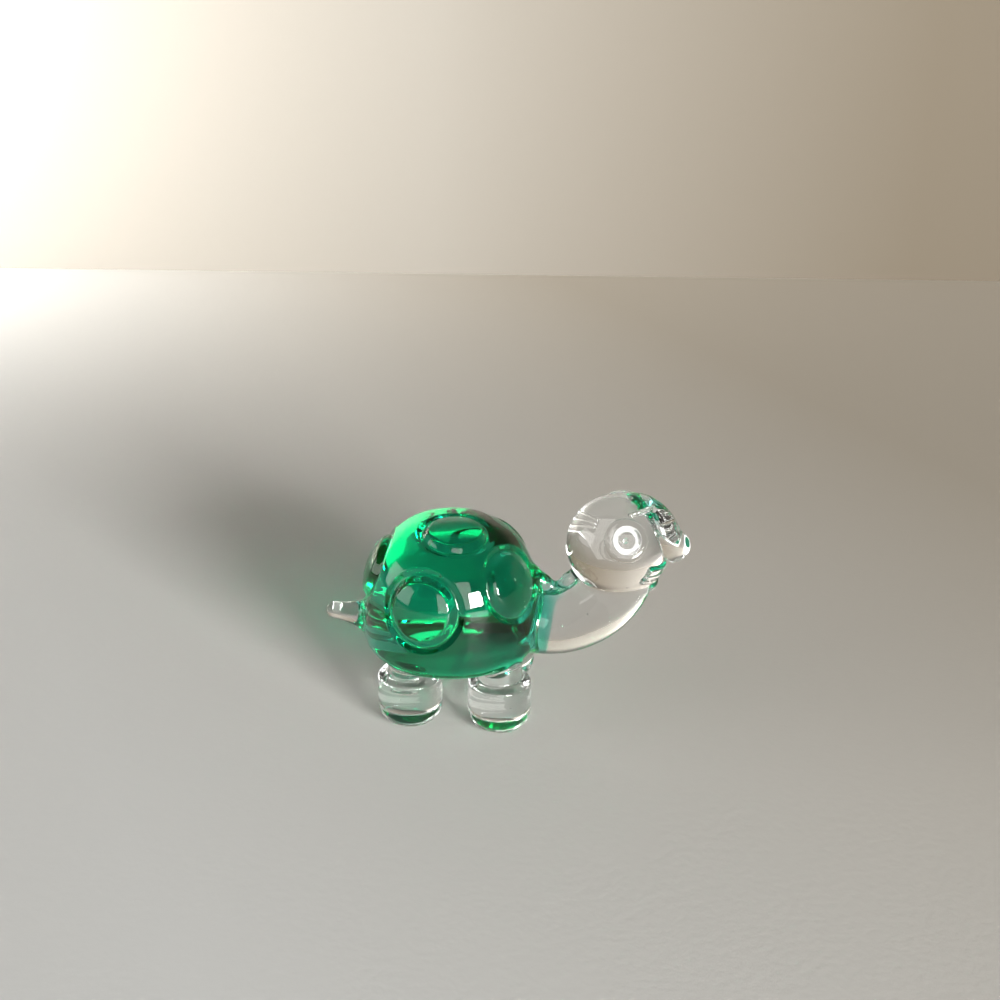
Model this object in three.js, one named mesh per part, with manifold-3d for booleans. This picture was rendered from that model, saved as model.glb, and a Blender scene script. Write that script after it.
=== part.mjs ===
// Lampworked glass turtle figurine: one green gather for the body, with green buttons on the
// shell and clear beads and stubs for the neck, head, legs and tail, all fused together.
// Millimetres, +X towards the head, +Z up, feet on z = 0, origin under the middle of the bounding box.
import * as THREE from "three";
import { mergeVertices } from "three/addons/utils/BufferGeometryUtils.js";
import Module from "manifold-3d";

const wasm = await Module();
wasm.setup();

// ---- driving dimensions (before the part is centred, x = 0 is the middle of the body) ----
const GAP = 0.15; // clearance at every fused joint

const BODY_CENTRE = [-0.08, 0, 11.5]; // widest level of the body
const BODY_HALF_LENGTH = 11.62;
const BODY_HALF_WIDTH = 11.9;
const BODY_RISE = 14.83; // above the widest level
const BODY_DROP = 3.5; // below it
const BODY_UPPER_POWER = 2.7; // fullness of the upper and lower profile, 2 is an ellipse
const BODY_LOWER_POWER = 3.6;

// A shell button is a low dome that sinks at its rim into a round groove of the shell.
// Distance from the middle and height over the bare shell, for a joint radius of 4.9.
const DOT_SIZE = 4.9;
const DOT_DOME = [
  [4.9, -0.44],
  [4.6, -0.31],
  [4.0, 0.17],
  [3.5, 0.41],
  [2.4, 0.56],
  [1.2, 0.66],
  [0, 0.69],
];
const DOT_SEAT = 0.65; // depth of the button's underside below the bare shell
const DOTS = {
  // direction from the body centre (azimuth from the head, elevation) and joint radius
  shell_dot_top: [-75, 78.5, 4.4],
  shell_dot_front_right: [-35, 40.4, 4.6],
  shell_dot_side_right: [-106, 31.7, 4.9],
  shell_dot_rear: [181, 39.3, 4.8],
  shell_dot_side_left: [106, 31.7, 4.9],
  shell_dot_front_left: [48, 40.4, 4.6],
};

const NECK_RADIUS = 4.4;
const NECK_PATH = [
  [5.0, 0, 13.2],
  [11.8, 0, 12.05],
  [16.6, 0, 12.9],
  [20.6, 0, 16.3],
  [22.1, 0, 20.6],
];
const COLLAR_X = 12.05; // where the green gather ends and the clear neck begins
const WEB_RADIUS = 0.75; // thread of green that dips onto the neck and clings to the back of the head
const WEB_PATH = [
  [10.3, 0, 18.7],
  [11.75, 0, 17.75],
  [13.6, 0, 16.6],
  [15.1, 0, 18.2],
  [16.3, 0, 19.8],
];

const HEAD_CENTRE = [21.25, 0, 23.4];
const HEAD_RADII = [6.5, 6.3, 6.5];

const SNOUT_CENTRE = [26.9, 0, 25.5];
const SNOUT_RADII = [2.25, 3.4, 4.7];
const SNOUT_LEAN = 30; // degrees, lower end forward
const NOSE_CENTRE = [29.0, 0, 23.4];
const NOSE_RADIUS = 1.75;

const BROW_CENTRE = [22.05, 0, 28.7]; // flat pad on top of the head, one with the snout
const BROW_RADII = [3.9, 3.3, 1.25];
const BROW_LEAN = 10;

const JAW_CENTRE = [25.2, 0, 18.7];
const JAW_RADII = [1.7, 2.4, 1.6];
const JAW_LEAN = -35;
const FOLD_SEAT = 6.3; // wrinkles of the mouth: arcs round the head centre
const FOLD_RADIUS = 0.62;
const FOLD_SPAN = 46; // degrees to each side
const FOLD_DROP = [20, 29.5, 39]; // degrees below level

const EYE_FORWARD = 10; // degrees from straight sideways
const EYE_UP = 28.5;
const EYE_RADIUS = 2.8;
const EYE_SEAT = 6.3; // distance of the seat from the head centre
const EYE_EDGE = 0.6;
const EYE_HEIGHT = 0.55;
const PUPIL_RADIUS = 1.85;
const PUPIL_EDGE = 0.5;
const PUPIL_TOP = 1.35; // above the eye's seat

const LEG_HEIGHT = 6.9;
const LEG_FOOT_ROUND = 2.6; // rounding of the foot, which leaves a flat in the middle
const LEG_TOP_ROUND = 0.4;
const LEG_ROOT_RADIUS = 2.9; // the short neck of the leg that goes up to the body
const LEG_ROOT_REACH = [0.88, 9.0]; // where it ends: share of the foot's y, and height
const LEGS = {
  // x, y, radius
  leg_front_right: [6.5, -6.65, 4.1],
  leg_front_left: [6.5, 6.65, 4.1],
  leg_rear_right: [-5.3, -5.6, 4.2],
  leg_rear_left: [-5.3, 5.6, 4.2],
};

const TAIL_ROOT = [-9.5, 0, 11.9];
const TAIL_TIP = [-16.85, 0, 13.1];
const TAIL_ROOT_RADIUS = 3.0;
const TAIL_TIP_RADIUS = 1.1;

// ---- helpers ----
const rad = THREE.MathUtils.degToRad;
const V = (a) => new THREE.Vector3(a[0], a[1], a[2]);

function solid(geometry) {
  const g = geometry.clone();
  g.deleteAttribute("normal");
  g.deleteAttribute("uv");
  const m = mergeVertices(g, 1e-4);
  return new wasm.Manifold(
    new wasm.Mesh({
      numProp: 3,
      vertProperties: new Float32Array(m.attributes.position.array),
      triVerts: new Uint32Array(m.index.array),
    }),
  );
}

function geometryOf(manifold) {
  const m = manifold.getMesh();
  const n = m.numProp;
  const v = new Float32Array(m.numVert * 3);
  for (let i = 0; i < m.numVert; i++)
    v.set(m.vertProperties.subarray(i * n, i * n + 3), i * 3);
  return new THREE.BufferGeometry()
    .setAttribute("position", new THREE.BufferAttribute(v, 3))
    .setIndex(new THREE.BufferAttribute(new Uint32Array(m.triVerts), 1));
}

// A turned solid about +Z from [radius, height] pairs that run from the bottom to the top on the axis.
function turned(profile, segments) {
  const g = new THREE.LatheGeometry(
    profile.map(([r, z]) => new THREE.Vector2(r, z)),
    segments,
  );
  g.rotateX(Math.PI / 2);
  return g;
}

function pointing(geometry, axis, at) {
  const q = new THREE.Quaternion().setFromUnitVectors(
    new THREE.Vector3(0, 0, 1),
    axis.clone().normalize(),
  );
  return geometry.applyQuaternion(q).translate(at.x, at.y, at.z);
}

function ellipsoid(radii, centre, lean, across, down) {
  const g = new THREE.SphereGeometry(1, across, down);
  g.rotateX(Math.PI / 2);
  g.scale(radii[0], radii[1], radii[2]);
  g.rotateY(rad(-lean));
  g.translate(centre[0], centre[1], centre[2]);
  return g;
}

// ---- body ----
// The profile of the body at unit radius: upper and lower halves differ in height and roundness.
function bodyRadiusAt(dz, grow) {
  const h = (dz > 0 ? BODY_RISE : BODY_DROP) + grow;
  const p = dz > 0 ? BODY_UPPER_POWER : BODY_LOWER_POWER;
  return Math.pow(Math.max(0, 1 - Math.pow(Math.abs(dz) / h, p)), 1 / p);
}

function bodyGeometry(grow) {
  const rows = 22;
  const profile = [];
  for (let i = 0; i <= rows; i++) {
    const a = -Math.PI / 2 + (Math.PI * i) / rows;
    const dz = Math.sin(a) * ((a > 0 ? BODY_RISE : BODY_DROP) + grow);
    const end = i === 0 || i === rows;
    profile.push([end ? 0 : bodyRadiusAt(dz, grow), dz]);
  }
  const g = turned(profile, 36);
  g.scale(BODY_HALF_LENGTH + grow, BODY_HALF_WIDTH + grow, 1);
  return g.translate(BODY_CENTRE[0], BODY_CENTRE[1], BODY_CENTRE[2]);
}

// A round rod along a smooth path.
function rod(radius, path, steps, around) {
  const shape = new THREE.Shape();
  shape.absarc(0, 0, radius, 0, 2 * Math.PI, false);
  return new THREE.ExtrudeGeometry(shape, {
    steps,
    curveSegments: around,
    bevelEnabled: false,
    extrudePath: new THREE.CatmullRomCurve3(path.map(V)),
  });
}

// The curved neck from inside the body to inside the head.
const neckGeometry = (grow) => rod(NECK_RADIUS + grow, NECK_PATH, 12, 12);
const webGeometry = (grow) => rod(WEB_RADIUS + grow, WEB_PATH, 12, 6);

// Everything with x under the given plane.
function behind(x) {
  const g = new THREE.BoxGeometry(60, 60, 60);
  return solid(g.translate(x - 30, 0, 15));
}

const body = (grow) =>
  solid(bodyGeometry(grow)).add(
    solid(neckGeometry(grow)).intersect(behind(COLLAR_X + grow)),
  );
const bodyCut = body(GAP);
const head = (grow) =>
  solid(
    ellipsoid(
      HEAD_RADII.map((r) => r + grow),
      HEAD_CENTRE,
      0,
      28,
      18,
    ),
  );
const headCut = head(GAP);
const neckCut = solid(neckGeometry(GAP));

// The pad on top of the head and the wrinkles of the mouth sit in the head, whole.
const brow = (grow) =>
  solid(
    ellipsoid(
      BROW_RADII.map((r) => r + grow),
      BROW_CENTRE,
      BROW_LEAN,
      22,
      12,
    ),
  );
const foldPath = (drop, span) =>
  [-1, -0.67, -0.33, 0, 0.33, 0.67, 1].map((t) => {
    const a = rad(span * t);
    return [
      HEAD_CENTRE[0] + FOLD_SEAT * Math.cos(a) * Math.cos(rad(drop)),
      FOLD_SEAT * Math.sin(a),
      HEAD_CENTRE[2] - FOLD_SEAT * Math.cos(a) * Math.sin(rad(drop)),
    ];
  });
const mouth = (grow) =>
  FOLD_DROP.map((drop) =>
    solid(
      rod(FOLD_RADIUS + grow, foldPath(drop, FOLD_SPAN + 10 * grow), 12, 6),
    ),
  ).reduce((a, b) => a.add(b));
const browCut = brow(GAP);
const mouthCut = mouth(GAP);

// ---- shell buttons ----
const bodyField = (p) => {
  const rho = Math.hypot(p.x / BODY_HALF_LENGTH, p.y / BODY_HALF_WIDTH);
  const up = p.z > 0;
  const z = Math.abs(p.z) / (up ? BODY_RISE : BODY_DROP);
  const n = up ? BODY_UPPER_POWER : BODY_LOWER_POWER;
  return Math.pow(Math.pow(rho, n) + Math.pow(z, n), 1 / n);
};

// Where a ray from the body centre leaves the bare body, with the outward normal there.
function bodySurface(d) {
  const p = d.clone().multiplyScalar(1 / bodyField(d));
  const e = 1e-3;
  const normal = new THREE.Vector3(
    bodyField(p.clone().setX(p.x + e)) - bodyField(p.clone().setX(p.x - e)),
    bodyField(p.clone().setY(p.y + e)) - bodyField(p.clone().setY(p.y - e)),
    bodyField(p.clone().setZ(p.z + e)) - bodyField(p.clone().setZ(p.z - e)),
  ).normalize();
  return { point: p, normal };
}

// Lays a turned shape on the shell: its z becomes the height over the bare body.
function laid(geometry, azimuth, elevation) {
  const d = new THREE.Vector3().setFromSphericalCoords(
    1,
    rad(90 - elevation),
    rad(azimuth),
  );
  const { point, normal } = bodySurface(new THREE.Vector3(d.z, d.x, d.y));
  const q = new THREE.Quaternion().setFromUnitVectors(
    new THREE.Vector3(0, 0, 1),
    normal,
  );
  const at = geometry.attributes.position;
  for (let i = 0; i < at.count; i++) {
    const flat = new THREE.Vector3(at.getX(i), at.getY(i), 0);
    const s = bodySurface(flat.applyQuaternion(q).add(point));
    s.point.addScaledVector(s.normal, at.getZ(i)).add(V(BODY_CENTRE));
    at.setXYZ(i, s.point.x, s.point.y, s.point.z);
  }
  return geometry;
}

// A disc with its underside at one depth and its upper side through the given points.
function lens(radius, depth, upper) {
  const under = [0, 0.3, 0.6, 0.85, 1].map((t) => [radius * t, -depth]);
  return turned(under.concat(upper), 28);
}

const solids = {};
solids.shell_body = body(0);
for (const [name, [azimuth, elevation, radius]] of Object.entries(DOTS)) {
  const k = radius / DOT_SIZE;
  const upper = DOT_DOME.map(([r, z]) => [r * k, z * k]);
  solids[name] = solid(
    laid(lens(radius, DOT_SEAT, upper), azimuth, elevation),
  ).subtract(neckCut);
  const wide = radius + GAP;
  const over = [1, 0.7, 0.35, 0].map((t) => [wide * t, 1.2]);
  solids.shell_body = solids.shell_body.subtract(
    solid(laid(lens(wide, DOT_SEAT + GAP, over), azimuth, elevation)),
  );
}
solids.shell_body = solids.shell_body.add(
  solid(webGeometry(0)).subtract(headCut),
);
const webCut = solid(webGeometry(GAP));

// A flat-topped disc with a rounded edge and a slight dome, down to a floor inside its neighbour.
function buttonProfile(radius, edge, height, dome, floor) {
  const out = [
    [0, floor],
    [radius, floor],
  ];
  const steps = 4;
  for (let i = 0; i <= steps; i++) {
    const a = (Math.PI / 2) * (i / steps);
    const r = radius - edge + edge * Math.cos(a);
    out.push([r, height * Math.sin(a) + dome * (1 - (r / radius) ** 2)]);
  }
  out.push([
    (radius - edge) / 2,
    height + dome * (1 - ((radius - edge) / 2 / radius) ** 2),
  ]);
  out.push([0, height + dome]);
  return out;
}

// ---- neck and head ----
solids.neck = solid(neckGeometry(0))
  .subtract(behind(COLLAR_X + GAP))
  .subtract(headCut)
  .subtract(solid(bodyGeometry(GAP)))
  .subtract(webCut);
solids.head = head(0).subtract(browCut).subtract(mouthCut);

solids.snout = solid(ellipsoid(SNOUT_RADII, SNOUT_CENTRE, SNOUT_LEAN, 20, 14))
  .add(
    solid(
      ellipsoid(
        [NOSE_RADIUS, NOSE_RADIUS, NOSE_RADIUS],
        NOSE_CENTRE,
        0,
        16,
        10,
      ),
    ),
  )
  .subtract(headCut)
  .subtract(mouthCut)
  .add(brow(0));

solids.lower_jaw = solid(ellipsoid(JAW_RADII, JAW_CENTRE, JAW_LEAN, 18, 12))
  .subtract(headCut)
  .subtract(neckCut)
  .add(mouth(0).subtract(neckCut.subtract(head(0))));

for (const [side, sign] of [
  ["right", -1],
  ["left", 1],
]) {
  const axis = new THREE.Vector3(
    Math.sin(rad(EYE_FORWARD)) * Math.cos(rad(EYE_UP)),
    sign * Math.cos(rad(EYE_FORWARD)) * Math.cos(rad(EYE_UP)),
    Math.sin(rad(EYE_UP)),
  );
  const seat = V(HEAD_CENTRE).addScaledVector(axis, EYE_SEAT);
  const eye = (grow) =>
    solid(
      pointing(
        turned(
          buttonProfile(
            EYE_RADIUS + grow,
            EYE_EDGE,
            EYE_HEIGHT + grow,
            0.15,
            -1.2,
          ),
          22,
        ),
        axis,
        seat,
      ),
    );
  solids["eye_" + side] = eye(0).subtract(headCut).subtract(browCut);
  solids["pupil_" + side] = solid(
    pointing(
      turned(
        buttonProfile(PUPIL_RADIUS, PUPIL_EDGE, PUPIL_TOP, 0.12, 0.2),
        20,
      ),
      axis,
      seat,
    ),
  ).subtract(eye(GAP));
}

// ---- legs and tail ----
for (const [name, [x, y, radius]] of Object.entries(LEGS)) {
  const profile = [[0, 0]];
  for (let i = 0; i <= 6; i++) {
    const a = -Math.PI / 2 + (Math.PI / 2) * (i / 6);
    profile.push([
      radius - LEG_FOOT_ROUND + LEG_FOOT_ROUND * Math.cos(a),
      LEG_FOOT_ROUND + LEG_FOOT_ROUND * Math.sin(a),
    ]);
  }
  for (let i = 0; i <= 4; i++) {
    const a = (Math.PI / 2) * (i / 4);
    profile.push([
      radius - LEG_TOP_ROUND + LEG_TOP_ROUND * Math.cos(a),
      LEG_HEIGHT - LEG_TOP_ROUND + LEG_TOP_ROUND * Math.sin(a),
    ]);
  }
  profile.push([0, LEG_HEIGHT]);
  const low = new THREE.Vector3(x, y, LEG_HEIGHT / 2 + 0.4);
  const high = new THREE.Vector3(
    x,
    y * LEG_ROOT_REACH[0],
    LEG_ROOT_REACH[1],
  );
  const lean = high.clone().sub(low);
  const root = new THREE.CylinderGeometry(
    LEG_ROOT_RADIUS,
    LEG_ROOT_RADIUS,
    lean.length(),
    24,
  );
  root.rotateX(Math.PI / 2).translate(0, 0, lean.length() / 2);
  solids[name] = solid(turned(profile, 24).translate(x, y, 0))
    .add(solid(pointing(root, lean, low)))
    .subtract(bodyCut);
}

{
  const root = V(TAIL_ROOT);
  const axis = V(TAIL_TIP).sub(root);
  const length = axis.length();
  const profile = [[0, 0]];
  const straight = length - TAIL_TIP_RADIUS;
  for (let i = 0; i <= 6; i++) {
    const t = i / 6;
    const r =
      TAIL_TIP_RADIUS +
      (TAIL_ROOT_RADIUS - TAIL_TIP_RADIUS) * Math.pow(1 - t, 1.6);
    profile.push([r, straight * t]);
  }
  for (let i = 1; i <= 4; i++) {
    const a = (Math.PI / 2) * (i / 5);
    profile.push([
      TAIL_TIP_RADIUS * Math.cos(a),
      straight + TAIL_TIP_RADIUS * Math.sin(a),
    ]);
  }
  profile.push([0, length]);
  solids.tail = solid(pointing(turned(profile, 20), axis, root)).subtract(
    bodyCut,
  );
}

// ---- finishes ----
const GREEN = new THREE.Color().setRGB(0.0, 0.5, 0.31, THREE.SRGBColorSpace);
const CLEAR = new THREE.Color().setRGB(0.82, 0.83, 0.81, THREE.SRGBColorSpace);

const group = new THREE.Group();
group.name = "glass_turtle";
const made = Object.entries(solids).map(([name, s]) => [name, geometryOf(s)]);
const box = new THREE.Box3();
for (const [, g] of made) {
  g.computeBoundingBox();
  box.union(g.boundingBox);
}
const middle = box.getCenter(new THREE.Vector3());
for (const [name, g] of made) {
  g.translate(-middle.x, -middle.y, -box.min.z);
  g.computeVertexNormals();
  const green = name.startsWith("shell_");
  const mesh = new THREE.Mesh(
    g,
    new THREE.MeshStandardMaterial({
      color: (green ? GREEN : CLEAR).clone(),
      roughness: 0.05,
      metalness: 0,
    }),
  );
  mesh.name = name;
  group.add(mesh);
}

export default group;
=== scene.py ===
# Lampworked glass turtle: the looks. One continuous fire-polished skin is worked out from the same
# dimensions as the solids, with every fused joint drawn into a small fillet, and is then cut along
# the joints into one closed piece of glass per solid. Distances are in mm until the meshes are made.
import math

import bpy
import numpy as np
from mathutils import Euler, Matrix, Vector


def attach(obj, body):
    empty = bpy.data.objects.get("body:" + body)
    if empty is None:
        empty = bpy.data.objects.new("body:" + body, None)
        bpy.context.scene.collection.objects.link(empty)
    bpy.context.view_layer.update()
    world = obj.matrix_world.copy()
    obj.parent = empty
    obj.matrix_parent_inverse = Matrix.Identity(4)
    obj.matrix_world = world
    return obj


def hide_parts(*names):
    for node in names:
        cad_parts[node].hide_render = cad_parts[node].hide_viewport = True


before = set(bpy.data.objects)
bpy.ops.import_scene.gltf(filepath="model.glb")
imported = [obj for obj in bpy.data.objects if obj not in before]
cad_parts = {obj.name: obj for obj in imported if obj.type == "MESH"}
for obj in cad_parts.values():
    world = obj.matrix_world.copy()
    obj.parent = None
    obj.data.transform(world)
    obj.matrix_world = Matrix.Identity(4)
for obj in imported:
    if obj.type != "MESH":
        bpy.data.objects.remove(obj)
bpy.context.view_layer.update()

# ---------------------------------------------------------------- dimensions, mm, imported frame
BODY_C = np.array([-7.03, 0.0, 11.5])
BODY_L, BODY_W, BODY_RISE, BODY_DROP = 11.62, 11.9, 14.83, 3.5
BODY_UP, BODY_LOW = 2.7, 3.6  # how full the profile is above and below the widest line
# A shell dot is a low dome inside a round groove: slope of the shell against the bare body at each radius.
DOT_R = np.array([0.0, 3.55, 4.0, 4.5, 4.85, 5.1, 5.4, 5.8])
DOT_SLOPE = np.array([0.0, -0.16, -0.80, -0.80, 0.0, 0.60, 0.60, 0.0])
DOTS = {  # direction from the body centre and radius of the joint
    "shell_dot_top": (-75, 78.5, 4.4),
    "shell_dot_front_right": (-35, 40.4, 4.6),
    "shell_dot_side_right": (-106, 31.7, 4.9),
    "shell_dot_rear": (181, 39.3, 4.8),
    "shell_dot_side_left": (106, 31.7, 4.9),
    "shell_dot_front_left": (48, 40.4, 4.6),
}
NECK_R, NECK_BEND, NECK_AT, NECK_FROM, NECK_TO = 4.4, 9.84, (5.4, 21.8), -125.0, -8.0
COLLAR_X, COLLAR_REACH, COLLAR_Z = 5.1, 3.0, (13.2, 16.7)  # the green runs further along the top of the rod
WEB = [(3.2, 18.9, 1.3), (4.8, 17.75, 1.0), (6.65, 16.6, 0.8), (8.15, 18.2, 0.7), (9.6, 20.1, 0.45)]  # green thread to the head: x, z, radius
HEAD_C, HEAD_R = np.array([14.30, 0, 23.4]), np.array([6.5, 6.3, 6.5])
SNOUT_C, SNOUT_R, SNOUT_LEAN = (19.95, 0, 25.5), (2.25, 3.4, 4.7), -30.0
NOSE_C, NOSE_R = (22.05, 0, 23.4), 1.75
BROW_C, BROW_R, BROW_LEAN = (15.1, 0, 28.7), (3.9, 3.3, 1.25), -10.0
FOLD_SEAT, FOLD_R, FOLD_SPAN, FOLD_DROP = 6.3, 0.62, 46.0, (20.0, 29.5, 39.0)  # wrinkles of the mouth: arcs round the head centre
JAW_C, JAW_R, JAW_LEAN = (18.25, 0, 18.7), (1.7, 2.4, 1.6), 35.0
EYE_FWD, EYE_UP, EYE_R, EYE_SEAT = 10.0, 28.5, 2.8, 6.3
PUPIL_R = 1.85
BUBBLES = [  # air in the glass: piece, place, radius
    ("head", (14.30 + 0.1535 * 5.3, -0.8655 * 5.3, 23.4 + 0.4772 * 5.3), 0.36),
    ("head", (14.30 + 0.1535 * 5.3, 0.8655 * 5.3, 23.4 + 0.4772 * 5.3), 0.36),
    ("head", (10.4, -3.2, 21.3), 0.13),
    ("head", (10.0, -1.6, 24.6), 0.10),
    ("head", (15.6, -3.9, 19.6), 0.12),
    ("neck", (7.6, -3.1, 13.0), 0.14),
    ("neck", (10.9, -2.6, 14.6), 0.11),
    ("shell_body", (-2.2, -6.8, 17.6), 0.16),
    ("shell_body", (-9.4, -5.2, 20.6), 0.13),
    ("shell_body", (-13.2, -6.0, 12.6), 0.14),
    ("leg_rear_right", (-13.1, -8.2, 4.6), 0.11),
    ("leg_front_right", (0.9, -9.0, 4.2), 0.10),
]
EYE_RING, EYE_RING_W, EYE_RING_H, EYE_RING_LIFT = 1.25, 0.24, 0.12, 0.15  # fine air caught under the pupil bead: radius, half width, half height, lift
LEG_H, LEG_FOOT, LEG_TOP, LEG_ROOT_R = 6.9, 2.6, 0.4, 2.9
LEGS = {
    "leg_front_right": (-0.45, -6.65, 4.1),
    "leg_front_left": (-0.45, 6.65, 4.1),
    "leg_rear_right": (-12.25, -5.6, 4.2),
    "leg_rear_left": (-12.25, 5.6, 4.2),
}
TAIL_ROOT, TAIL_TIP = np.array([-16.45, 0, 11.9]), np.array([-23.80, 0, 13.1])
TAIL_R0, TAIL_R1 = 3.0, 1.1
RIPPLE = 0.012


# ---------------------------------------------------------------- distances
def length(v):
    return np.sqrt((v * v).sum(-1))


def smin(a, b, k):
    h = np.maximum(k - np.abs(a - b), 0) / k
    return np.minimum(a, b) - h * h * h * k / 6.0


def turn_y(deg):
    c, s = np.cos(np.radians(deg)), np.sin(np.radians(deg))
    return np.array([[c, 0, -s], [0, 1, 0], [s, 0, c]])


def ellipsoid(p, c, r, turn=None):
    q = p - np.asarray(c, float)
    if turn is not None:
        q = q @ turn.T
    r = np.asarray(r, float)
    k0, k1 = length(q / r), length(q / (r * r))
    return k0 * (k0 - 1) / np.maximum(k1, 1e-6)


def body(p):
    q = p - BODY_C
    up = q[..., 2] > 0
    rz = np.where(up, BODY_RISE, BODY_DROP)
    rho = np.sqrt((q[..., 0] / BODY_L) ** 2 + (q[..., 1] / BODY_W) ** 2) + 1e-9
    e = np.where(up, BODY_UP, BODY_LOW)
    zz = np.abs(q[..., 2] / rz) + 1e-9
    n = (rho**e + zz**e) ** (1 / e)
    g_rho, g_z = (rho / n) ** (e - 1), (zz / n) ** (e - 1)
    gx = g_rho * q[..., 0] / BODY_L**2 / rho
    gy = g_rho * q[..., 1] / BODY_W**2 / rho
    g = np.sqrt(gx * gx + gy * gy + (g_z / rz) ** 2)
    return (n - 1) / np.maximum(g, 1e-6)


def stub(p, a, b, r):
    ab = b - a
    t = np.clip(((p - a) @ ab) / (ab @ ab), 0, 1)
    return length(p - a - t[..., None] * ab) - r


def bent_rod(p):
    x, z = p[..., 0] - NECK_AT[0], p[..., 2] - NECK_AT[1]
    lo, hi = np.radians(NECK_FROM), np.radians(NECK_TO)
    mid, half = 0.5 * (lo + hi), 0.5 * (hi - lo)
    c, s = np.cos(mid), np.sin(mid)
    t = np.clip(np.arctan2(c * z - s * x, c * x + s * z), -half, half) + mid
    return np.sqrt((x - NECK_BEND * np.cos(t)) ** 2 + p[..., 1] ** 2 + (z - NECK_BEND * np.sin(t)) ** 2) - NECK_R


def web(p):
    d = None
    for (xa, za, ra), (xb, zb, rb) in zip(WEB, WEB[1:]):
        ux, uz = xb - xa, zb - za
        t = np.clip(((p[..., 0] - xa) * ux + (p[..., 2] - za) * uz) / (ux * ux + uz * uz), 0, 1)
        t = t * t * (3 - 2 * t) * 0.4 + t * 0.6
        e = np.sqrt((p[..., 0] - xa - t * ux) ** 2 + p[..., 1] ** 2 + (p[..., 2] - za - t * uz) ** 2) - ra - t * (rb - ra)
        d = e if d is None else smin(d, e, 0.9)
    return d


def horn(p):
    axis = TAIL_TIP - TAIL_ROOT
    full = np.linalg.norm(axis)
    axis = axis / full
    straight = full - TAIL_R1
    v = p - TAIL_ROOT
    along = v @ axis
    side = np.sqrt(np.maximum((v * v).sum(-1) - along * along, 0))
    t = 1 - np.clip(along / straight, 0, 1)
    r = TAIL_R1 + (TAIL_R0 - TAIL_R1) * t**1.6
    slope = (TAIL_R0 - TAIL_R1) * 1.6 * t**0.6 / straight
    over = np.maximum(along - straight, 0)
    d = np.where(over > 0, np.hypot(side, over) - TAIL_R1, (side - r) / np.sqrt(1 + slope * slope))
    return np.where(along < 0, length(v) - TAIL_R0, d)


def direction(az, el):
    a, e = np.radians(az), np.radians(el)
    return np.array([np.cos(e) * np.cos(a), np.cos(e) * np.sin(a), np.sin(e)])


def on_body(az, el):
    d = direction(az, el)
    lo, hi = 0.0, 30.0
    for _ in range(60):
        m = 0.5 * (lo + hi)
        lo, hi = (m, hi) if body((BODY_C + m * d)[None])[0] < 0 else (lo, m)
    return BODY_C + lo * d


DOT_AT = {k: on_body(az, el) for k, (az, el, _) in DOTS.items()}


DOT_RISE = np.concatenate([np.cumsum((0.5 * (DOT_SLOPE[1:] + DOT_SLOPE[:-1]) * np.diff(DOT_R))[::-1])[::-1] * -1, [0.0]])


def relief(r, radius):
    """Height of a shell dot over the bare body at a distance from its middle."""
    k = radius / 4.9
    r = np.minimum(r / k, DOT_R[-1])
    i = np.clip(np.searchsorted(DOT_R, r, side="right") - 1, 0, len(DOT_R) - 2)
    t = r - DOT_R[i]
    return k * (DOT_RISE[i] + t * DOT_SLOPE[i] + 0.5 * t * t * np.diff(DOT_SLOPE)[i] / np.diff(DOT_R)[i])


def pill(r, z, radius, edge, height, dome):
    b = (z - dome * np.clip(1 - (r / radius) ** 2, -1, 1)) / height
    a = np.maximum(r - (radius - edge), 0) / edge
    k0 = np.sqrt(a * a + b * b)
    k1 = np.sqrt((a / edge) ** 2 + (b / height) ** 2)
    return k0 * (k0 - 1) / np.maximum(k1, 1e-6)


def eye_axis(side):
    f, u = np.radians(EYE_FWD), np.radians(EYE_UP)
    return np.array([np.sin(f) * np.cos(u), side * np.cos(f) * np.cos(u), np.sin(u)])


def button(p, at, n, radius, edge, height, lift, dome):
    v = p - at
    z = v @ n
    r = np.sqrt(np.maximum((v * v).sum(-1) - z * z, 0))
    return pill(r, z - lift, radius, edge, height, dome)


def fold(p, drop):
    q = p - HEAD_C
    c, s = np.cos(np.radians(drop)), np.sin(np.radians(drop))
    ahead, across, off = q[..., 0] * c - q[..., 2] * s, q[..., 1], q[..., 0] * s + q[..., 2] * c
    a = np.clip(np.arctan2(across, ahead), -np.radians(FOLD_SPAN), np.radians(FOLD_SPAN))
    return np.sqrt((ahead - FOLD_SEAT * np.cos(a)) ** 2 + (across - FOLD_SEAT * np.sin(a)) ** 2 + off * off) - FOLD_R


def foot(p, x, y, radius):
    r = np.hypot(p[..., 0] - x, p[..., 1] - y)
    z = p[..., 2]
    low = z < LEG_H * 0.6
    rr = np.where(low, LEG_FOOT, LEG_TOP)
    dz = np.where(low, LEG_FOOT - z, z - (LEG_H - LEG_TOP))
    dr = r - (radius - rr)
    return np.hypot(np.maximum(dr, 0), np.maximum(dz, 0)) + np.minimum(np.maximum(dr, dz), 0) - rr


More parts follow.
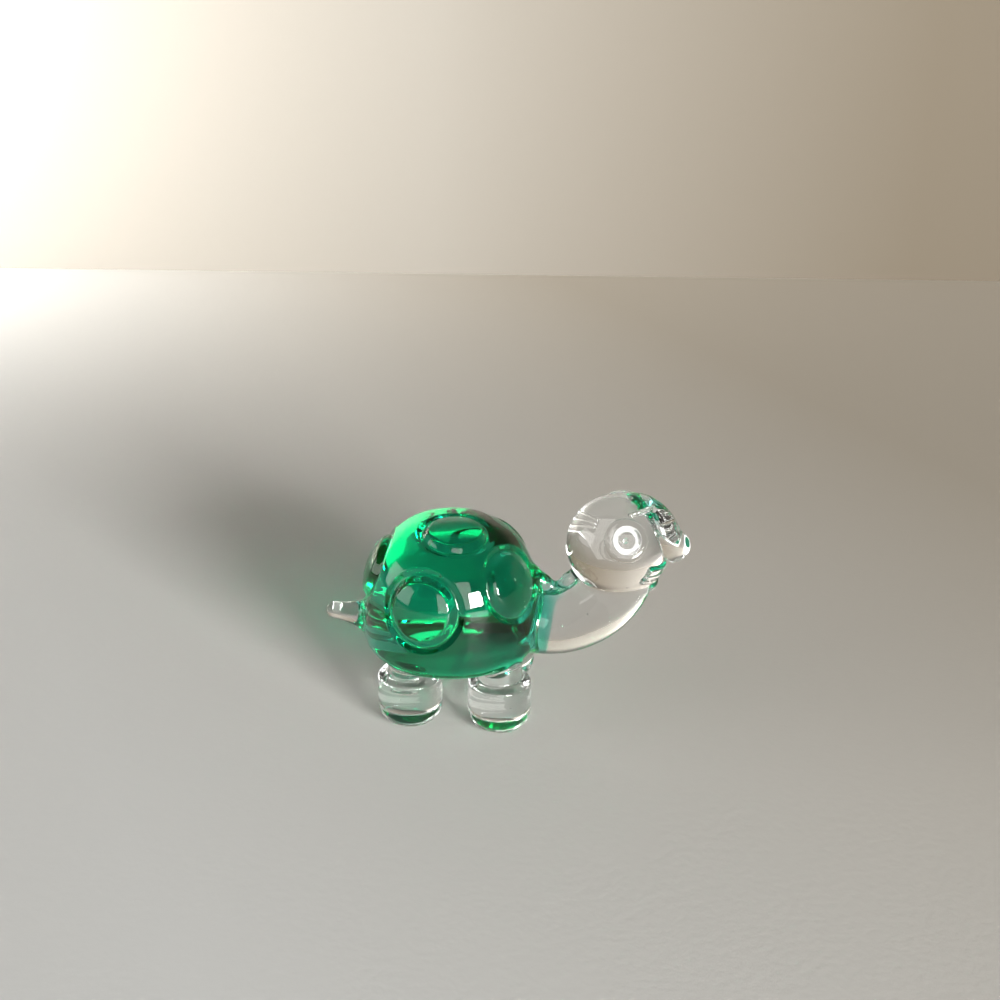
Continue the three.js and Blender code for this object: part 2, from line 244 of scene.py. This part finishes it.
def pieces(p):
    """Raw distance of each named piece."""
    out = {}
    far = {k: length(p - DOT_AT[k]) for k in DOTS}
    shell = smin(body(p) - sum(relief(far[k], DOTS[k][2]) for k in DOTS), web(p), 1.2)
    out["shell_body"] = shell
    for k in DOTS:
        out[k] = shell + np.maximum(0.5 * (far[k] - DOTS[k][2]), -0.08)
    out["neck"] = bent_rod(p)
    out["head"] = ellipsoid(p, HEAD_C, HEAD_R)
    lump = smin(ellipsoid(p, SNOUT_C, SNOUT_R, turn_y(SNOUT_LEAN)), ellipsoid(p, BROW_C, BROW_R, turn_y(BROW_LEAN)), 0.8)
    out["snout"] = smin(lump, length(p - np.array(NOSE_C)) - NOSE_R, 0.9)
    jaw = ellipsoid(p, JAW_C, JAW_R, turn_y(JAW_LEAN))
    for drop in FOLD_DROP:
        jaw = smin(jaw, fold(p, drop), 0.15)
    out["lower_jaw"] = jaw
    for side, s in (("right", -1), ("left", 1)):
        n = eye_axis(s)
        at = HEAD_C + n * EYE_SEAT
        out["eye_" + side] = button(p, at, n, EYE_R, 0.6, 0.55, 0.0, 0.15)
        out["pupil_" + side] = button(p, at, n, PUPIL_R, 0.5, 0.5, 0.85, 0.12)
    for k, (x, y, radius) in LEGS.items():
        low, high = np.array([x, y, 5.4]), np.array([x, 0.88 * y, 9.0])
        out[k] = smin(foot(p, x, y, radius), stub(p, low, high, LEG_ROOT_R), 0.8)
    out["tail"] = horn(p)
    return out


JOIN = {"neck": 1.4, "head": 1.0, "snout": 0.3, "lower_jaw": 0.2, "tail": 1.6}
JOIN.update({"eye_right": 0.2, "eye_left": 0.2, "pupil_right": 0.1, "pupil_left": 0.1})
JOIN.update({k: 0.9 for k in LEGS})
FILL = {k: max(2.0 * w, 1.3) for k, w in JOIN.items()}
FILL.update({k: 2.0 for k in LEGS})


def union(raw, join):
    d = raw["shell_body"]
    for k in raw:
        if k in join:
            d = smin(d, raw[k], join[k])
    return d


def ripple(p):
    """Slight unevenness of hand-worked glass, none at the feet."""
    x, y, z = p[..., 0], p[..., 1], p[..., 2]
    w = np.sin(0.83 * x + 0.31 * y + 0.47 * z + 0.6) + np.sin(-0.36 * x + 0.74 * y + 0.58 * z + 2.1) + np.sin(0.42 * x - 0.51 * y + 0.79 * z + 4.0)
    t = np.clip((z - 3.0) / 3.0, 0, 1)
    return RIPPLE * w * t * t * (3 - 2 * t)


def fused(p):
    return union(pieces(p), JOIN) + ripple(p)


def filled(p):
    return union(pieces(p), FILL) + ripple(p)


TETRA = np.array([(1, -1, -1), (-1, -1, 1), (-1, 1, -1), (1, 1, 1)], float)


def value_and_slope(f, p, e=1e-3):
    """f and its gradient from four samples round each point."""
    s = np.stack([f(p + e * k) for k in TETRA])
    return s.mean(0), (TETRA.T @ s).T / (4 * e)


def onto(f, p, steps=3):
    for _ in range(steps):
        d, g = value_and_slope(f, p)
        p = p - np.clip(d / np.maximum((g * g).sum(-1), 0.05), -0.5, 0.5)[:, None] * g
    return p


def normals(f, p):
    g = value_and_slope(f, p)[1]
    return g / length(g)[:, None]


# ---------------------------------------------------------------- skin mesh
def net(f, lo, hi, h):
    n = np.ceil((hi - lo) / h).astype(int) + 1
    ax = [lo[i] + h * np.arange(n[i]) for i in range(3)]
    d = np.empty(n)
    for i in range(0, n[0], 8):
        g = np.stack(np.meshgrid(ax[0][i : i + 8], ax[1], ax[2], indexing="ij"), -1)
        d[i : i + 8] = f(g.reshape(-1, 3)).reshape(g.shape[:-1])
    s = d < 0
    corner = [(a, b, c) for a in (0, 1) for b in (0, 1) for c in (0, 1)]
    cut = lambda v, o: v[o[0] : n[0] - 1 + o[0], o[1] : n[1] - 1 + o[1], o[2] : n[2] - 1 + o[2]]
    count = sum(cut(s, o).astype(int) for o in corner)
    cell = np.nonzero((count > 0) & (count < 8))
    index = np.full(count.shape, -1)
    index[cell] = np.arange(len(cell[0]))
    total = np.zeros((len(cell[0]), 3))
    hits = np.zeros(len(cell[0]))
    base = np.stack(cell, -1)
    for o in corner:
        for axis in range(3):
            if o[axis]:
                continue
            q = list(o)
            q[axis] = 1
            da, db = cut(d, o)[cell], cut(d, q)[cell]
            m = (da < 0) != (db < 0)
            t = np.where(m, da / np.where(m, da - db, 1), 0)
            pt = base + np.array(o, float)
            pt[:, axis] += t
            total += np.where(m[:, None], pt, 0)
            hits += m
    v = lo + h * total / hits[:, None]
    quads = []
    for axis in range(3):
        a, b = [(1, 2), (2, 0), (0, 1)][axis]
        s0 = np.take(s, range(n[axis] - 1), axis)
        s1 = np.take(s, range(1, n[axis]), axis)
        e = np.stack(np.nonzero(s0 != s1), -1)
        e = e[(e[:, a] > 0) & (e[:, b] > 0)]
        out = s0[tuple(e.T)]
        at = []
        for da, db in ((0, 0), (-1, 0), (-1, -1), (0, -1)):
            q = e.copy()
            q[:, a] += da
            q[:, b] += db
            at.append(index[tuple(q.T)])
        quad = np.stack(at, -1)
        quad[~out] = quad[~out][:, ::-1]
        quads.append(quad)
    return v, np.vstack(quads)


def edges_of(tris):
    e = np.sort(tris[:, [0, 1, 1, 2, 2, 0]].reshape(-1, 2), 1)
    u, inv = np.unique(e, axis=0, return_inverse=True)
    return u, inv.reshape(-1, 3)


def split(v, tris, edges, inv, mark, points):
    """Splits the marked edges at the given points; each triangle follows its own edges."""
    new = np.full(len(edges), -1)
    new[mark] = len(v) + np.arange(mark.sum())
    v = np.vstack([v, points])
    m = new[inv]
    code = (m[:, 0] >= 0) * 1 + (m[:, 1] >= 0) * 2 + (m[:, 2] >= 0) * 4
    out, parent = [tris[code == 0]], [np.nonzero(code == 0)[0]]
    for c in range(1, 8):
        who = np.nonzero(code == c)[0]
        if not len(who):
            continue
        t, q = tris[who], m[who]
        shift = {1: 0, 2: 1, 4: 2, 3: 0, 6: 1, 5: 2, 7: 0}[c]
        roll = [(shift + i) % 3 for i in range(3)]
        (A, B, C), (ab, bc, ca) = t[:, roll].T, q[:, roll].T
        if c in (1, 2, 4):
            new_t = [(A, ab, C), (ab, B, C)]
        elif c == 7:
            new_t = [(A, ab, ca), (ab, B, bc), (ca, bc, C), (ab, bc, ca)]
        else:  # ab and bc are split: corner B and a quad
            flip = ((v[ab] - v[C]) ** 2).sum(-1) > ((v[A] - v[bc]) ** 2).sum(-1)
            new_t = [(ab, B, bc), (np.where(flip, A, ab), np.where(flip, ab, bc), np.where(flip, bc, C)), (A, np.where(flip, bc, ab), C)]
        for x in new_t:
            out.append(np.stack(x, -1))
            parent.append(who)
    return v, np.vstack(out), np.concatenate(parent)


def skin(h=0.4, rounds=3, bend=15.0):
    lo, hi = np.array([-24.9, -12.9, -0.83]), np.array([24.9, 12.9, 30.9])
    v, quads = net(filled, lo, hi, h)
    v = onto(fused, v, 3)
    pairs = np.vstack([quads[:, [0, 1]], quads[:, [1, 2]], quads[:, [2, 3]], quads[:, [3, 0]]])
    pairs = np.unique(np.sort(pairs, 1), axis=0)
    both = np.vstack([pairs, pairs[:, ::-1]])
    degree = np.bincount(both[:, 0], minlength=len(v))
    for _ in range(4):
        mean = np.stack([np.bincount(both[:, 0], v[both[:, 1], i], len(v)) for i in range(3)], -1) / degree[:, None]
        g = normals(fused, v)
        move = mean - v
        v = onto(fused, v + 0.5 * (move - (move * g).sum(-1)[:, None] * g), 1)
    v = onto(fused, v, 2)
    flip = ((v[quads[:, 0]] - v[quads[:, 2]]) ** 2).sum(-1) > ((v[quads[:, 1]] - v[quads[:, 3]]) ** 2).sum(-1)
    t = np.vstack([quads[~flip][:, [0, 1, 2]], quads[~flip][:, [0, 2, 3]], quads[flip][:, [0, 1, 3]], quads[flip][:, [1, 2, 3]]])
    for _ in range(rounds):
        n = normals(fused, v)
        e, inv = edges_of(t)
        size = length(v[e[:, 0]] - v[e[:, 1]])
        angle = np.degrees(np.arccos(np.clip((n[e[:, 0]] * n[e[:, 1]]).sum(-1), -1, 1)))
        mark = (angle > bend) & (size > 0.1)
        v, t, _ = split(v, t, e, inv, mark, onto(fused, 0.5 * (v[e[mark, 0]] + v[e[mark, 1]]), 2))
    off = np.abs(fused(v)) > 0.004
    v[off] = onto(fused, v[off], 8)
    return v, t


NAMES = ["shell_body", *DOTS, "neck", "head", "snout", "lower_jaw", "eye_right", "pupil_right", "eye_left", "pupil_left", *LEGS, "tail"]


def claims(p):
    """How near each piece is; the rod is green up to the collar and clear past it."""
    raw = pieces(p)
    rise = np.clip((p[..., 2] - COLLAR_Z[0]) / (COLLAR_Z[1] - COLLAR_Z[0]), 0, 1)
    past = p[..., 0] - COLLAR_X - COLLAR_REACH * rise * rise
    rod = raw["neck"]
    raw["neck"] = rod + np.maximum(-past, 0)
    raw["shell_body"] = np.minimum(raw["shell_body"], rod + np.maximum(past, 0))
    return np.stack([raw[k] for k in NAMES])


def share(v, t):
    """Cuts the skin along the lines where two pieces are equally near. Returns points and one triangle list per piece."""
    near = claims(v)
    parts, left, rest = {}, list(range(len(NAMES))), t
    for i in reversed(range(len(NAMES))):
        left.remove(i)
        if not left:
            parts[NAMES[i]] = rest
            break
        g = near[i] - near[left].min(0)
        g[np.abs(g) < 0.02] = 0
        e, inv = edges_of(rest)
        a, b = e.T
        mark = g[a] * g[b] < 0
        a, b = a[mark], b[mark]
        t0, t1, g0, g1 = np.zeros(len(a)), np.ones(len(a)), g[a].copy(), g[b].copy()
        for _ in range(3):
            u = t0 + (t1 - t0) * g0 / (g0 - g1)
            pt = onto(fused, v[a] + u[:, None] * (v[b] - v[a]), 1)
            c = claims(pt)
            gu = c[i] - c[left].min(0)
            same = np.sign(gu) == np.sign(g0)
            t0, g0 = np.where(same, u, t0), np.where(same, gu, g0)
            t1, g1 = np.where(same, t1, u), np.where(same, g1, gu)
        v, rest, _ = split(v, rest, e, inv, mark, pt)
        near = np.hstack([near, c])
        g = np.concatenate([g, np.zeros(len(pt))])
        side = g[rest]
        mine = np.where(np.abs(side).max(1) > 0, side.sum(1) < 0, False)
        parts[NAMES[i]] = rest[mine]
        rest = rest[~mine]
    return v, parts


def rims(t):
    """Closed loops of open edges, each in the direction that its faces run."""
    d = t[:, [0, 1, 1, 2, 2, 0]].reshape(-1, 2)
    key = d[:, 0].astype(np.int64) * (1 << 32) + d[:, 1]
    back = d[:, 1].astype(np.int64) * (1 << 32) + d[:, 0]
    d = d[~np.isin(key, back)]
    after = {}
    for a, b in d:
        after.setdefault(int(a), []).append(int(b))
    loops = []
    while after:
        start = next(iter(after))
        loop, at = [start], start
        while True:
            nxt = after[at].pop()
            if not after[at]:
                del after[at]
            if nxt == start:
                break
            loop.append(nxt)
            at = nxt
        loops.append(loop)
    return loops



# ---------------------------------------------------------------- glass
def new_material(name):
    m = bpy.data.materials.new(name)
    m.use_nodes = True
    m.node_tree.nodes.clear()
    return m, m.node_tree.nodes, m.node_tree.links


def glass(name, absorb, density):
    """Clear or coloured solid glass. A joint inside the piece bends no light: its faces carry a refraction of 1."""
    m, nodes, links = new_material(name)
    out = nodes.new("ShaderNodeOutputMaterial")
    b = nodes.new("ShaderNodeBsdfPrincipled")
    b.inputs["Base Color"].default_value = (1, 1, 1, 1)
    b.inputs["Roughness"].default_value = 0.0
    b.inputs["Transmission Weight"].default_value = 1.0
    a = nodes.new("ShaderNodeAttribute")
    a.attribute_name = "refraction"
    links.new(a.outputs["Fac"], b.inputs["IOR"])
    links.new(b.outputs["BSDF"], out.inputs["Surface"])
    v = nodes.new("ShaderNodeVolumeAbsorption")
    v.inputs["Color"].default_value = (*absorb, 1)
    v.inputs["Density"].default_value = density
    links.new(v.outputs["Volume"], out.inputs["Volume"])
    return m


GREEN = glass("green_glass_look", (0.0, 0.874, 0.76), 230.0)
CLEAR = glass("clear_glass_look", (0.80, 0.93, 0.90), 2.0)
GLASS_IOR = 1.5


def frosted(name):
    """The rough wall of a ring of fine air in clear glass."""
    m, nodes, links = new_material(name)
    out = nodes.new("ShaderNodeOutputMaterial")
    b = nodes.new("ShaderNodeBsdfPrincipled")
    b.inputs["Base Color"].default_value = (1, 1, 1, 1)
    b.inputs["Roughness"].default_value = 0.6
    b.inputs["Transmission Weight"].default_value = 0.45
    b.inputs["IOR"].default_value = GLASS_IOR
    links.new(b.outputs["BSDF"], out.inputs["Surface"])
    return m


FROST = frosted("fine_air_look")


def ball(rows=8, columns=14):
    """Unit directions and triangles of a round bubble."""
    d, f = [(0, 0, -1)], []
    for i in range(1, rows):
        a = math.pi * i / rows - math.pi / 2
        d += [(math.cos(a) * math.cos(2 * math.pi * j / columns), math.cos(a) * math.sin(2 * math.pi * j / columns), math.sin(a)) for j in range(columns)]
    d.append((0, 0, 1))
    ring = lambda i, j: 1 + (i - 1) * columns + j % columns
    for j in range(columns):
        f.append((0, ring(1, j + 1), ring(1, j)))
        f.append((len(d) - 1, ring(rows - 1, j), ring(rows - 1, j + 1)))
        for i in range(1, rows - 1):
            f += [(ring(i, j), ring(i, j + 1), ring(i + 1, j)), (ring(i, j + 1), ring(i + 1, j + 1), ring(i + 1, j))]
    return np.array(d), np.array(f)


def air_ring(side, around=56, across=12):
    """Points, outward directions and triangles of the ring of air in an eye."""
    n = eye_axis(side)
    u = np.cross(n, (0.0, 0.0, 1.0))
    u /= np.linalg.norm(u)
    w = np.cross(n, u)
    pts, out, f = [], [], []
    for i in range(around):
        a = 2 * math.pi * i / around
        radial = math.cos(a) * u + math.sin(a) * w
        for j in range(across):
            b = 2 * math.pi * j / across
            pts.append(HEAD_C + n * (EYE_SEAT + EYE_RING_LIFT + EYE_RING_H * math.sin(b)) + radial * (EYE_RING + EYE_RING_W * math.cos(b)))
            d = radial * math.cos(b) / EYE_RING_W + n * math.sin(b) / EYE_RING_H
            out.append(d / np.linalg.norm(d))
            k = [i * across + j, (i + 1) % around * across + j, (i + 1) % around * across + (j + 1) % across, i * across + (j + 1) % across]
            f += [(k[0], k[1], k[2]), (k[0], k[2], k[3])]
    return np.array(pts), np.array(out), np.array(f)


def make_piece(name, v, n, tris):
    used, index = np.unique(tris, return_inverse=True)
    tris = index.reshape(-1, 3)
    pts, nor = v[used], n[used]
    caps, extra, cap_n = [], [], []
    for loop in rims(tris):
        ring = pts[loop]
        mid = ring.mean(0)
        area = np.cross(ring - mid, np.roll(ring, -1, 0) - mid).sum(0)
        out = -area / np.linalg.norm(area)
        centre = len(pts) + len(extra)
        extra.append(mid - 0.015 * out)
        for a, b in zip(loop, loop[1:] + loop[:1]):
            caps.append((b, a, centre))
    pts = np.vstack([pts, extra]) if extra else pts
    skin_faces = tris
    ball_n = []
    for at, radius in [(np.array(c), r) for k, c, r in BUBBLES if k + "_glass" == name]:
        d, f = ball()
        skin_faces = np.vstack([skin_faces, f[:, ::-1] + len(pts)])
        ball_n.append((len(pts), -d))
        pts = np.vstack([pts, at + radius * d])
    ring_faces = slice(0, 0)
    if name.startswith("eye_"):
        at, d, f = air_ring(-1 if "right" in name else 1)
        ring_faces = slice(len(skin_faces), len(skin_faces) + len(f))
        skin_faces = np.vstack([skin_faces, f[:, ::-1] + len(pts)])
        ball_n.append((len(pts), -d))
        pts = np.vstack([pts, at])
    nor = np.vstack([nor, np.zeros((len(pts) - len(nor), 3))])
    for first, d in ball_n:
        nor[first : first + len(d)] = d
    tris = skin_faces
    faces = np.vstack([tris, np.array(caps)]) if caps else tris
    me = bpy.data.meshes.new(name)
    me.vertices.add(len(pts))
    me.vertices.foreach_set("co", (pts * 1e-3).astype(np.float32).ravel())
    me.loops.add(len(faces) * 3)
    me.loops.foreach_set("vertex_index", faces.astype(np.int32).ravel())
    me.polygons.add(len(faces))
    me.polygons.foreach_set("loop_start", np.arange(0, len(faces) * 3, 3, dtype=np.int32))
    me.update(calc_edges=True)
    me.polygons.foreach_set("use_smooth", np.ones(len(faces), dtype=bool))
    corner = np.empty((len(faces), 3, 3))
    corner[: len(tris)] = nor[tris]
    if caps:
        c = pts[faces[len(tris) :]]
        flat = np.cross(c[:, 1] - c[:, 0], c[:, 2] - c[:, 0])
        corner[len(tris) :] = (flat / np.maximum(np.linalg.norm(flat, axis=1), 1e-12)[:, None])[:, None]
    me.normals_split_custom_set(corner.reshape(-1, 3).astype(np.float32))
    look = np.zeros(len(faces), dtype=np.int32)
    look[ring_faces] = 1
    me.polygons.foreach_set("material_index", look)
    bend = me.attributes.new("refraction", "FLOAT", "FACE")
    value = np.full(len(faces), GLASS_IOR, dtype=np.float32)
    value[len(tris) :] = 1.0
    bend.data.foreach_set("value", value)
    ob = bpy.data.objects.new(name, me)
    bpy.context.scene.collection.objects.link(ob)
    return ob


points, triangles = skin()
points, shared = share(points, triangles)
facing = normals(fused, points)
for node in NAMES:
    green = node.startswith("shell_")
    piece = make_piece(node + "_glass", points, facing, shared[node])
    piece.data.materials.append(GREEN if green else CLEAR)
    if node.startswith("eye_"):
        piece.data.materials.append(FROST)
    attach(piece, "root")
    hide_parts(node)


# ---------------------------------------------------------------- stage
# A stage surface whose colour carries painted light and shade: a fall-off of the light along a direction and, if given,
# painted shade that deepens with height.
def painted(name, colour, rough, grain, painted_light_drift, painted_shade_fade=None):
    m, nodes, links = new_material(name)
    out = nodes.new("ShaderNodeOutputMaterial")
    b = nodes.new("ShaderNodeBsdfPrincipled")
    b.inputs["Base Color"].default_value = (*colour, 1)
    b.inputs["Roughness"].default_value = rough
    b.inputs["IOR"].default_value = 1.45
    b.inputs["Specular IOR Level"].default_value = 0.2
    co = nodes.new("ShaderNodeTexCoord")
    t = nodes.new("ShaderNodeTexNoise")
    t.inputs["Scale"].default_value = 900.0
    t.inputs["Detail"].default_value = 3.0
    links.new(co.outputs["Object"], t.inputs["Vector"])
    bump = nodes.new("ShaderNodeBump")
    bump.inputs["Strength"].default_value = grain
    bump.inputs["Distance"].default_value = 0.0001
    links.new(t.outputs["Fac"], bump.inputs["Height"])
    links.new(bump.outputs["Normal"], b.inputs["Normal"])
    along = nodes.new("ShaderNodeVectorMath")  # painted light and shade: brighter at one end, darker and warmer along a direction
    along.operation = "DOT_PRODUCT"
    along.inputs[1].default_value = painted_light_drift[0]
    links.new(co.outputs["Object"], along.inputs[0])
    turn = nodes.new("ShaderNodeMapRange")
    turn.inputs["From Min"].default_value, turn.inputs["From Max"].default_value = painted_light_drift[1], painted_light_drift[2]
    links.new(along.outputs["Value"], turn.inputs["Value"])
    painted_light_mix = nodes.new("ShaderNodeMix")
    painted_light_mix.data_type = "RGBA"
    links.new(turn.outputs["Result"], painted_light_mix.inputs[0])
    painted_light_mix.inputs[6].default_value = (*(c * painted_light_drift[3] for c in colour), 1)
    painted_light_mix.inputs[7].default_value = (*(c * k for c, k in zip(colour, painted_light_drift[4])), 1)
    links.new(painted_light_mix.outputs[2], b.inputs["Base Color"])
    if painted_shade_fade:  # painted shade: darker with height
        height = nodes.new("ShaderNodeSeparateXYZ")
        links.new(co.outputs["Object"], height.inputs[0])
        ramp = nodes.new("ShaderNodeMapRange")
        ramp.interpolation_type = "SMOOTHSTEP"
        ramp.inputs["From Min"].default_value, ramp.inputs["From Max"].default_value = painted_shade_fade[0], painted_shade_fade[1]
        ramp.inputs["To Min"].default_value, ramp.inputs["To Max"].default_value = 1.0, painted_shade_fade[2]
        links.new(height.outputs["Z"], ramp.inputs["Value"])
        shade = nodes.new("ShaderNodeMix")
        shade.data_type = "RGBA"
        shade.blend_type = "MULTIPLY"
        shade.inputs["Factor"].default_value = 1.0
        links.new(painted_light_mix.outputs[2], shade.inputs[6])
        links.new(ramp.outputs["Result"], shade.inputs[7])
        links.new(shade.outputs[2], b.inputs["Base Color"])
    links.new(b.outputs["BSDF"], out.inputs["Surface"])
    return m


def sheet(name, corners, material):
    me = bpy.data.meshes.new(name)
    me.from_pydata([tuple(c) for c in corners], [], [tuple(range(len(corners)))])
    ob = bpy.data.objects.new(name, me)
    bpy.context.scene.collection.objects.link(ob)
    me.materials.append(material)
    return ob


FLOOR_Z = -0.00003
WALL_Y = 0.222
# Floor painted brighter at the left and darker and warmer towards the right and back; backdrop painted darker and
# warmer towards the right: painted light and shade.
floor_look = painted("floor_look", (0.54, 0.54, 0.53), 0.55, 0.25, ((3.3, 1.85, 0), -0.20, 0.42, 1.12, (0.72, 0.645, 0.55)))
# The backdrop also gets painted shade that darkens it with height.
wall_look = painted("wall_look", (0.165, 0.152, 0.132), 0.8, 0.1, ((1, 0, 0), -0.03, 0.10, 1.0, (0.70, 0.63, 0.54)), painted_shade_fade=(0.07, 0.16, 0.25))
sheet("floor", [(-1.5, -1.5, FLOOR_Z), (1.5, -1.5, FLOOR_Z), (1.5, WALL_Y, FLOOR_Z), (-1.5, WALL_Y, FLOOR_Z)], floor_look)
sheet("backdrop", [(-1.5, WALL_Y, FLOOR_Z), (1.5, WALL_Y, FLOOR_Z), (1.5, WALL_Y, 1.2), (-1.5, WALL_Y, 1.2)], wall_look)


def panel(name, azimuth, elevation, distance, width, height, radiance, aim=(0.0, 0.0, 0.012), spread=180.0):
    """A soft box seen from the part at that azimuth (0 is -Y, 90 is +X) and elevation."""
    a, e = math.radians(azimuth), math.radians(elevation)
    at = Vector(aim) + distance * Vector((math.sin(a) * math.cos(e), -math.cos(a) * math.cos(e), math.sin(e)))
    data = bpy.data.lights.new(name, "AREA")
    data.shape = "RECTANGLE"
    data.size, data.size_y = width, height
    data.spread = math.radians(spread)
    strength = max(radiance)
    data.color = tuple(c / strength for c in radiance)
    data.energy = strength * math.pi * width * height
    ob = bpy.data.objects.new(name, data)
    ob.location = at
    ob.visible_camera = False
    ob.rotation_euler = (Vector(aim) - at).to_track_quat("-Z", "Y").to_euler()
    bpy.context.scene.collection.objects.link(ob)
    return ob


panel("window", 15.0, 20.0, 1.5, 0.86, 0.92, (4.1, 4.05, 3.9))
panel("key", 37.0, 12.5, 1.2, 0.40, 0.34, (76.0, 76.0, 74.5))
panel("left", -78.0, 16.0, 0.9, 0.7, 0.42, (3.0, 3.0, 2.95))
panel("wash", -60.0, -10.0, 0.21, 0.16, 0.04, (98.0, 97.0, 95.0), aim=(-0.205, WALL_Y, 0.074), spread=72.0)

world = bpy.data.worlds.new("room")
bpy.context.scene.world = world
world.use_nodes = True
world.node_tree.nodes["Background"].inputs["Color"].default_value = (0.05, 0.045, 0.04, 1)
world.node_tree.nodes["Background"].inputs["Strength"].default_value = 1.0

# ---------------------------------------------------------------- camera
cam = bpy.data.cameras.new("camera")
cam.sensor_fit = "HORIZONTAL"
cam.sensor_width = 36.0
cam.lens = 18.0 / math.tan(math.radians(19.0))
cam.clip_start, cam.clip_end = 0.005, 20.0
camera = bpy.data.objects.new("camera", cam)
camera.location = (0.00790, -0.16973, 0.10349)
camera.rotation_euler = Euler((math.radians(90 - 23.60), 0, math.radians(2.91)))
bpy.context.scene.collection.objects.link(camera)
bpy.context.scene.camera = camera

scene = bpy.context.scene
scene.cycles.max_bounces = 40
scene.cycles.transmission_bounces = 40
scene.cycles.glossy_bounces = 16
scene.cycles.diffuse_bounces = 4
scene.cycles.transparent_max_bounces = 24
scene.cycles.caustics_refractive = True
scene.cycles.caustics_reflective = True
scene.cycles.blur_glossy = 0.3
scene.cycles.sample_clamp_indirect = 30.0
scene.cycles.use_denoising = True
scene.view_settings.view_transform = "Standard"
scene.view_settings.look = "None"

bpy.context.view_layer.update()
